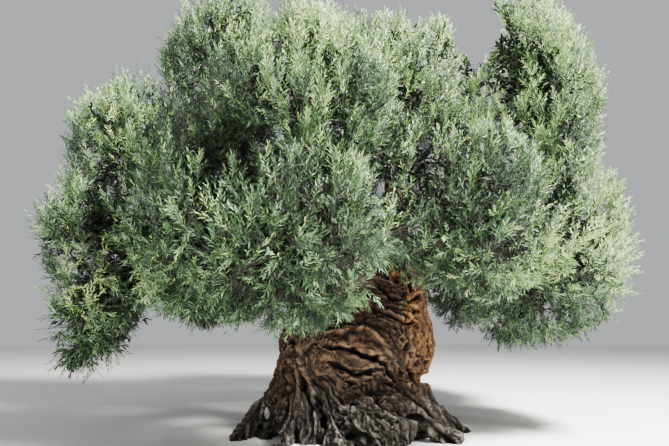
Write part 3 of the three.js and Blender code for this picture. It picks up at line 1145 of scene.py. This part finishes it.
def outer_plumes(crown, spots, mass, settings, random):
    """Where the mass's outer plumes start, their way, length and bend, and how bright each is."""
    places, outward, groove = spots["place"], spots["out"], spots["groove"]
    count = len(places)
    kept = random.random(count) < (settings.back_share if mass.startswith("back") else 1)
    # Below zero where the crown's outside dips
    hollow = 0.75 * noise(places, 0.95, 41) + 0.5 * noise(places, 0.42, 42)
    # A plume points outward and up, and sways with its neighbours and a little by itself
    height = places[:, 2:]
    rise = np.interp(height, *RISE_BY_HEIGHT)
    way = 0.55 * outward + rise * UP + 0.28 * noise_vectors(places, 0.7, 43)
    way = unit(way + 0.28 * random.normal(size=(count, 3)))
    # No plume runs back into the crown, so each starts inside the skin
    way = unit(way + outward * np.maximum(0.5 - dots(way, outward), 0))
    # A few plumes are long, and where the crown is thin they stay short
    length = settings.plume_length * (0.72 + 0.85 * random.random((count, 1)) ** 2)
    length *= 1 + 0.25 * noise(places, 0.7, 44)[:, None]
    length = np.minimum(length, 0.6 * spots["thickness"] + 0.1)
    # Plumes under an overhang turn up less
    curl = np.interp(height, *CURL_BY_HEIGHT) * (1 - 0.5 * np.clip(-outward[:, 2:], 0, 1))
    bend = curl * UP + 0.14 * random.normal(size=(count, 3))
    # Each root lies about a plume's length behind the skin, and farther in where that dips
    depth = length * (0.86 + 0.24 * random.random((count, 1)))
    depth = depth + 0.2 * np.clip(-hollow[:, None], 0, 0.8)
    roots = places - (way + 0.5 * bend) * depth
    kept &= hollow > settings.hollow_limit
    kept &= crown.holds(roots)
    # Plumes are painted lighter towards the sun and with painted shade in hollows and grooves, and
    # the patches of painted light and shade are added
    bright = 0.3 * dots(outward, SUN_WAY)[:, 0] + 0.32 * np.clip(hollow, -0.8, 0.8)
    bright -= 0.2 * groove[:, 0]
    for middle, reach, change in PAINTED_LIGHT_AND_SHADE:
        bright += change * bell(np.linalg.norm(places - middle, axis=1), reach)
    plumes = {"root": roots, "way": way, "length": length, "bend": bend, "bright": bright}
    return rows_of(plumes, kept)


def inner_twigs(spots, random):
    """The same for the plain twigs inside a mass."""
    places, outward = spots["place"], spots["out"]
    count = len(places)
    # They start well inside, but no farther in than the middle of the crown
    depth = np.minimum(0.65 + 0.8 * random.random((count, 1)), 0.5 * spots["thickness"])
    return {
        "root": places - outward * depth,
        "way": unit(outward + 0.8 * random.normal(size=(count, 3))),
        "length": np.full((count, 1), INNER_LENGTH),
        "bend": 0.3 * random.normal(size=(count, 3)),
        # Their leaves are dark as painted shade
        "bright": -0.9 + 0.35 * random.random(count),
    }


class Skeleton:
    """The limbs and branches of one mass, which split its plumes into ever smaller groups."""

    def __init__(self, roots, end_radius, random):
        self.roots, self.random = roots, random
        self.power = math.log(end_radius / STEM_RADII[0]) / math.log(max(len(roots), 3))
        self.limbs = []
        self.bases = np.zeros_like(roots)

    def radius(self, count):
        """A limb's radius by how many plumes it feeds."""
        return STEM_RADII[0] * count**self.power

    def grow(self, start, way):
        """Grows a limb towards its plumes, and splits it until each group is small."""
        stack = [(start, way, np.arange(len(self.roots)))]
        while stack:
            start, way, members = stack.pop()
            count = len(members)
            if count <= TWIG_GROUP:
                self.bases[members] = start
                continue
            # A limb sets off the way that the last one ran, and bends towards its plumes
            targets = self.roots[members]
            middle = targets.mean(axis=0)
            reach = np.linalg.norm(middle - start)
            step = (middle - start) * (0.5 if count > LARGE_GROUP else 0.6)
            step += 0.2 * np.linalg.norm(step) * way + 0.08 * reach * self.random.normal(size=3)
            end = start + step
            knee = start + 0.5 * step + 0.12 * np.linalg.norm(step) * (way - unit(step))
            self.limbs.append((start, knee, end, self.radius(count), self.radius(count * 0.6)))
            # The plumes ahead are split in two across the way in which they spread most
            ahead = unit(targets - end)
            axis = np.linalg.svd(ahead - ahead.mean(axis=0), full_matrices=False)[2][0]
            order = np.argsort(ahead @ axis)
            cut = int(count * (0.35 + 0.3 * self.random.random()))
            cut = min(max(cut, 1), count - 1)
            stack.append((end, unit(step), members[order[:cut]]))
            stack.append((end, unit(step), members[order[cut:]]))


def plume_place(plumes, share):
    """The place that far along each plume's bent stem, and the stem's way there."""
    along = share * plumes["way"] + 0.5 * share**2 * plumes["bend"]
    way = unit(plumes["way"] + share * plumes["bend"])
    return plumes["root"] + plumes["length"] * along, way


def plume_shoots(plumes, form, random):
    """The side shoots of each plume and its leader, as starts, ends and brightness."""
    count = len(plumes["root"])
    turn = 2 * math.pi * random.random((count, 1))
    starts, ends, brights = [], [], []
    # Side shoots stand round the stem in a spiral, and are shorter towards its tip
    for index in range(form["shoots"]):
        share = 0.12 + 0.68 * (index + random.random((count, 1))) / form["shoots"]
        start, way = plume_place(plumes, share)
        first = unit(np.cross(way, UP + 0.1))
        second = np.cross(way, first)
        angle = turn + index * GOLDEN_TURN
        side = np.cos(angle) * first + np.sin(angle) * second
        open_angle = np.radians(form["spread"] * (0.7 + 0.6 * random.random((count, 1))))
        heading = unit(np.cos(open_angle) * way + np.sin(open_angle) * side + 0.25 * UP)
        length = form["shoot"] * (1.25 - 0.7 * share) * (0.7 + 0.6 * random.random((count, 1)))
        starts.append(start)
        ends.append(start + length * heading)
        # Shoots nearer the plume's tip are given more painted light
        brights.append(plumes["bright"] + 0.5 * (share[:, 0] - 0.5))
    for low, high in LEADER:
        starts.append(plume_place(plumes, low)[0])
        ends.append(plume_place(plumes, high)[0])
        # The leader's upper part is given more painted light too
        brights.append(plumes["bright"] + 0.5 * (high - 0.65))
    return np.concatenate(starts), np.concatenate(ends), np.concatenate(brights)


def tint_of_shoots(starts, bright, random):
    """The tint of each shoot: a painted highlight where the sun reaches, silver in drifts, painted
    shade inside.
    """
    count = len(starts)
    sunlit = bright + 0.1 * noise(starts, 1.2, 51) + 0.26 * random.normal(size=count)
    # Higher shoots are given a little more painted light
    sunlit += 0.02 * (starts[:, 2] - 4.5)
    # More of the leaves show their silver undersides low in the crown
    silver = 0.7 * noise(starts, 0.8, 53) + 0.5 * random.normal(size=count)
    silver += 0.35 * smooth_step(4.8, 2.8, starts[:, 2]) - 0.1
    # Tints go from painted shade through the greens to a painted highlight, by how sunlit each
    # shoot is
    tint = np.full(count, GREEN)
    tint[sunlit < -0.35] = PAINTED_SHADE
    tint[sunlit > 0.02] = GREY_GREEN
    tint[(sunlit > 0.16) & (silver < 0.1)] = OLIVE
    tint[(sunlit > 0.22) & (silver > 0.1)] = SILVER
    tint[sunlit > 0.52] = PAINTED_HIGHLIGHT
    return tint


def leaves_on(starts, ends, tint, form, random):
    """Pairs of narrow leaves up each shoot, each pair turned a quarter from the last, and tints."""
    count, pairs = len(starts), form["pairs"]
    share = np.linspace(0.1, 1.0, pairs) + 0.03 * random.normal(size=(count, pairs))
    share = np.clip(share, 0.02, 1)[..., None]
    stem = unit(ends - starts)[:, None, :]
    base = starts[:, None] + share * (ends - starts)[:, None]
    first = unit(np.cross(stem, np.array([0.31, 0.27, 0.9])))
    second = np.cross(stem, first)
    turn = math.pi * random.random((count, 1)) + np.arange(pairs) * math.pi / 2
    turn = (turn + 0.25 * random.normal(size=(count, pairs)))[..., None]
    side = np.cos(turn) * first + np.sin(turn) * second
    # Leaves open wide low on a shoot, and less towards its tip
    opened = np.radians(np.interp(share, [0, 1], [42, 16]) + 7 * random.normal(size=share.shape))
    size = form["leaf"] * (1.1 - 0.5 * np.abs(share - 0.4))
    groups = []
    for sign in (1, -1):
        length = size * (0.8 + 0.4 * random.random(share.shape))
        way = np.cos(opened) * stem + sign * np.sin(opened) * side
        way = unit(way + 0.1 * random.normal(size=way.shape))
        # A leaf's face looks up and a little to the front and right
        face = unit(UP + 0.45 * np.array([0.3, -0.6, 0]) + 0.5 * random.normal(size=way.shape))
        face = laid_along(face, way)
        across = np.cross(way, face)
        # It is widest near the middle, and its tip bends back a little
        half = 0.5 * form["slim"] * length * (0.85 + 0.3 * random.random(share.shape))
        waist = base + (0.42 + 0.1 * random.random(share.shape)) * length * way + 0.3 * half * face
        left, right = waist - half * across, waist + half * across
        tip = base + length * way - 0.1 * length * face
        groups.append(np.stack([base, left, tip, right], axis=-2))
    leaves = np.concatenate(groups, axis=1).reshape(-1, 4, 3)
    # Some leaves are a shade darker or paler than their shoot
    shade = np.repeat(tint, 2 * pairs) + random.choice([-1, 0, 0, 0, 1], len(leaves))
    return leaves, np.clip(shade, 0, len(LEAF_TINTS) - 1)


def in_gap(points):
    """Which points lie in one of the crown's gaps, whose edges are uneven."""
    found = np.zeros(len(points), bool)
    for line, reach in CROWN_GAPS:
        distance, _ = line_gap(points, line)
        near = np.flatnonzero(distance < 1.6 * reach)
        edge = reach * (1 + 0.5 * noise(points[near], 0.35, 61))
        found[near] |= distance[near] < edge
    return found


def in_room(shapes):
    """Which groups of points lie inside the room that the CAD box gives, and out of the gaps."""
    low, high = (np.array(corner) for corner in CAD_BOX)
    room = BOX_SHARE * (high - low) + BOX_MARGIN
    floor = np.array([0, 0, room[2] + GROUND_CLEARANCE])
    inside = (shapes > low - room + floor) & (shapes < high + room)
    gaps = in_gap(shapes.reshape(-1, 3)).reshape(shapes.shape[:2])
    return inside.all(axis=(1, 2)) & ~gaps.any(axis=1)


def clear_of_gaps(plumes):
    """The plumes whose stems keep out of the gaps, so that no limb grows there."""
    crossed = [in_gap(plume_place(plumes, share)[0]) for share in (0.0, 0.5, 1.0)]
    return rows_of(plumes, ~np.any(crossed, axis=0))


def branch_tubes(limbs):
    """The tubes of a mass's limbs and branches, with more sides the thicker they are."""
    start, knee, end, thick, thin = (np.array([limb[k] for limb in limbs]) for k in range(5))
    # A limb's point runs on a little, into the limbs that it feeds
    beyond = end + unit(end - knee) * thin[:, None] * 0.8
    path = np.stack([start, knee, end, beyond], axis=1)
    radii = np.stack([thick, (thick + thin) / 2, thin], axis=1)
    thicker = [thick > radius for radius in LIMB_SIDES.values()]
    sides = np.select(thicker, list(LIMB_SIDES), THIN_SIDES)
    return [tubes(path[sides == s], radii[sides == s], s) for s in (*LIMB_SIDES, THIN_SIDES)]


def leafy_plumes(plumes, bases, form, random):
    """The tubes of plumes that grow from some bases, with their leaves and the leaves' tints."""
    middle, _ = plume_place(plumes, STEM_BEND)
    tip, _ = plume_place(plumes, 1.0)
    stems = np.stack([bases, plumes["root"], middle, tip], axis=1)
    kept = in_room(stems)
    wood = [tubes(stems[kept], np.broadcast_to(STEM_RADII, (kept.sum(), 3)), TWIG_SIDES)]
    plumes = rows_of(plumes, kept)
    starts, ends, bright = plume_shoots(plumes, form, random)
    shoots = np.stack([starts, ends], axis=1)
    kept = in_room(shoots)
    # The leader's shoots come last, and the plume's stem carries their leaves
    beside = shoots[: form["shoots"] * len(plumes["root"])]
    beside = beside[kept[: len(beside)]]
    wood.append(tubes(beside, np.full((len(beside), 1), SHOOT_RADIUS), TWIG_SIDES))
    starts, ends = shoots[kept, 0], shoots[kept, 1]
    tint = tint_of_shoots(starts, bright[kept], random)
    leaves, tints = leaves_on(starts, ends, tint, form, random)
    kept = in_room(leaves)
    return wood, leaves[kept], tints[kept]


def model_mass(crown, strewn, mass, index, settings, finishes):
    """One mass's wood and its leaves, from the places strewn for outer plumes and inner twigs."""
    random = np.random.default_rng(settings.seed + index)
    outer, inner = (rows_of(spots, spots["mass"] == mass) for spots in strewn)
    kinds = [
        (clear_of_gaps(outer_plumes(crown, outer, mass, settings, random)), OUTER),
        (clear_of_gaps(inner_twigs(inner, random)), INNER),
    ]
    line, radii = bough_line(HOST_BOUGH.get(mass, mass))
    roots = np.concatenate([plumes["root"] for plumes, _ in kinds])
    skeleton = Skeleton(roots, radii[-1], random)
    skeleton.grow(line[-2], unit(line[-1] - line[-2]))
    wood = branch_tubes(skeleton.limbs)
    leaves, tints = [], []
    bases = np.split(skeleton.bases, [len(kinds[0][0]["root"])])
    for (plumes, form), base in zip(kinds, bases):
        stems, shapes, shades = leafy_plumes(plumes, base, form, random)
        wood += stems
        leaves.append(shapes)
        tints.append(shades)
    vertices, faces = gathered(wood)
    twigs = mesh_object(f"twigs_{mass}", vertices, faces, [finishes["twig"]])
    declare(twigs, BARK_SLOT, f"foliage_{mass}")
    leaves, tints = np.concatenate(leaves), np.concatenate(tints)
    corner = 4 * np.arange(len(leaves))[:, None]
    faces = np.concatenate([corner + [0, 1, 2], corner + [0, 2, 3]], axis=1).reshape(-1, 3)
    piece = mesh_object(
        f"leaves_{mass}", leaves.reshape(-1, 3), faces, finishes["leaves"], np.repeat(tints, 2),
        smooth=False,
    )
    declare(piece, LEAF_SLOT, f"foliage_{mass}")


# Stage

SOFT_BOXES = [
    {
        "name": "key", "place": (10, -9, 18), "target": (0, 0, 5), "size": 4, "power": 43000,
        "colour": (1.0, 0.98, 0.93),
    },
    {
        "name": "fill", "place": (-5, -18, 6), "target": (0, 0, 3), "size": 13, "power": 1200,
        "colour": (0.95, 0.98, 1.0),
    },
]
ROOM_COLOUR = (0.95, 0.97, 1.0, 1)
ROOM_STRENGTH = 0.55


def soft_light(name, place, target, size, power, colour):
    """A square soft box that faces a point."""
    data = bpy.data.lights.new(name, "AREA")
    data.size = size
    data.energy = power
    data.color = colour
    lamp = link(bpy.data.objects.new(name, data))
    lamp.location = place
    lamp.rotation_euler = (Vector(target) - Vector(place)).to_track_quat("-Z", "Y").to_euler()


def build_floor(settings):
    """A wide round floor of matt white paint, rolled on."""
    form = bmesh.new()
    bmesh.ops.create_circle(form, cap_ends=True, segments=96, radius=settings.floor_radius)
    floor = bmesh_object("floor", form)
    colour = (*settings.floor_colour, 1)
    paint = start_material("matt_white_paint", Base_Color=colour, Roughness=0.9)[0]
    floor.data.materials.append(paint)


# Settings


class BarkSettings(bpy.types.PropertyGroup):
    seed: IntProperty(name="Seed", description="Changes where the knots lie", default=3)
    voxel: FloatProperty(
        name="Trunk detail", description="Size of the squares of the trunk's skin", default=0.015,
        unit="LENGTH",
    )
    soften_rounds: IntProperty(
        name="Softening", description="How much the skin is rounded before it is furrowed",
        default=24,
    )
    bough_voxel: FloatProperty(
        name="Bough detail", description="Size of the squares of the boughs' skin", default=0.026,
        unit="LENGTH",
    )
    relief: FloatProperty(
        name="Relief", description="How strongly the bark is furrowed", default=1.0,
        subtype="FACTOR",
    )
    sink: FloatProperty(
        name="Sink", description="How far the furrows lie inside the solid", default=0.1,
        unit="LENGTH",
    )
    bough_scale: FloatProperty(
        name="Bough grain", description="Size of the boughs' furrows beside the trunk's",
        default=0.6, subtype="FACTOR",
    )
    bough_sides: IntProperty(
        name="Bough sides", description="Sides of each bough's core", default=12
    )


class CrownSettings(bpy.types.PropertyGroup):
    seed: IntProperty(name="Seed", description="Changes how the crown grows", default=7)
    plumes_per_area: FloatProperty(
        name="Plumes", description="Plumes for each square metre of the crown", default=11.1
    )
    back_share: FloatProperty(
        name="Back plumes", description="Share of that number on the masses behind", default=0.95,
        subtype="FACTOR",
    )
    twigs_per_area: FloatProperty(
        name="Inner twigs", description="Inner twigs for each square metre of the crown",
        default=7.0,
    )
    hollow_limit: FloatProperty(
        name="Hollows", description="Lower values leave fewer dark hollows", default=-1.0
    )
    plume_length: FloatProperty(
        name="Plume length", description="Length of a leafy plume", default=0.72, unit="LENGTH"
    )


class StageSettings(bpy.types.PropertyGroup):
    floor_radius: FloatProperty(
        name="Floor radius", description="Radius of the floor", default=90.0, unit="LENGTH"
    )
    floor_colour: FloatVectorProperty(
        name="Floor colour", description="Colour of the floor", default=(0.78, 0.77, 0.75),
        subtype="COLOR",
    )
    eye: FloatVectorProperty(
        name="Eye", description="Where the camera stands", default=(-0.2, -10.2, 1.7),
        subtype="TRANSLATION", unit="LENGTH",
    )
    tilt: FloatProperty(
        name="Tilt", description="How far the camera looks up", default=math.radians(12.15),
        subtype="ANGLE",
    )
    lens: FloatProperty(name="Lens", description="Focal length in millimetres", default=27.98)


# Operators


class OLIVE_OT_trunk(bpy.types.Operator):
    """Model the trunk's furrowed bark"""

    bl_idname = "olive.trunk"
    bl_label = "Trunk"

    def execute(self, context):
        model_trunk(context.scene.olive_bark)
        return {"FINISHED"}


class OLIVE_OT_boughs(bpy.types.Operator):
    """Model the boughs between the trunk and the masses of foliage"""

    bl_idname = "olive.boughs"
    bl_label = "Boughs"

    def execute(self, context):
        model_boughs(context.scene.olive_bark)
        return {"FINISHED"}


class OLIVE_OT_crown(bpy.types.Operator):
    """Grow the branches, twigs and leaves of every mass"""

    bl_idname = "olive.crown"
    bl_label = "Crown"

    def execute(self, context):
        settings = context.scene.olive_crown
        crown = Crown()
        strewn = [
            crown.strewn(settings.plumes_per_area, settings.seed),
            crown.strewn(settings.twigs_per_area, settings.seed + 1),
        ]
        finishes = {
            "twig": young_olive_bark(),
            "leaves": [olive_leaf(*tint) for tint in LEAF_TINTS],
        }
        for index, mass in enumerate(MASSES):
            model_mass(crown, strewn, mass, index, settings, finishes)
        return {"FINISHED"}


class OLIVE_OT_stage(bpy.types.Operator):
    """Set the floor, the soft lights and the camera"""

    bl_idname = "olive.stage"
    bl_label = "Stage"

    def execute(self, context):
        settings = context.scene.olive_stage
        build_floor(settings)
        for box in SOFT_BOXES:
            soft_light(**box)
        world = bpy.data.worlds.new("studio")
        world.use_nodes = True
        background = world.node_tree.nodes["Background"]
        background.inputs["Color"].default_value = ROOM_COLOUR
        background.inputs["Strength"].default_value = ROOM_STRENGTH
        context.scene.world = world
        data = bpy.data.cameras.new("camera")
        data.lens = settings.lens
        camera = link(bpy.data.objects.new("camera", data))
        camera.location = settings.eye
        camera.rotation_euler = (math.pi / 2 + settings.tilt, 0, 0)
        context.scene.camera = camera
        return {"FINISHED"}


class OLIVE_PT_panel(bpy.types.Panel):
    """Lists the tree's parts in the sidebar"""

    bl_label = "Olive Tree"
    bl_idname = "OLIVE_PT_panel"
    bl_space_type = "VIEW_3D"
    bl_region_type = "UI"
    bl_category = "Olive Tree"

    def draw(self, context):
        for operator in OPERATORS:
            self.layout.operator(operator.bl_idname)
        for group in SETTINGS:
            box = self.layout.box()
            settings = getattr(context.scene, group)
            for name in settings.__annotations__:
                box.prop(settings, name)


SETTINGS = {
    "olive_bark": BarkSettings,
    "olive_crown": CrownSettings,
    "olive_stage": StageSettings,
}
OPERATORS = (OLIVE_OT_trunk, OLIVE_OT_boughs, OLIVE_OT_crown, OLIVE_OT_stage)
CLASSES = (*SETTINGS.values(), *OPERATORS, OLIVE_PT_panel)


def register():
    for cls in CLASSES:
        bpy.utils.register_class(cls)
    for name, group in SETTINGS.items():
        setattr(bpy.types.Scene, name, PointerProperty(type=group))


def unregister():
    for name in SETTINGS:
        delattr(bpy.types.Scene, name)
    for cls in reversed(CLASSES):
        bpy.utils.unregister_class(cls)


def main():
    register()
    bpy.ops.olive.trunk()
    bpy.ops.olive.boughs()
    bpy.ops.olive.crown()
    bpy.ops.olive.stage()


if __name__ == "__main__":
    main()
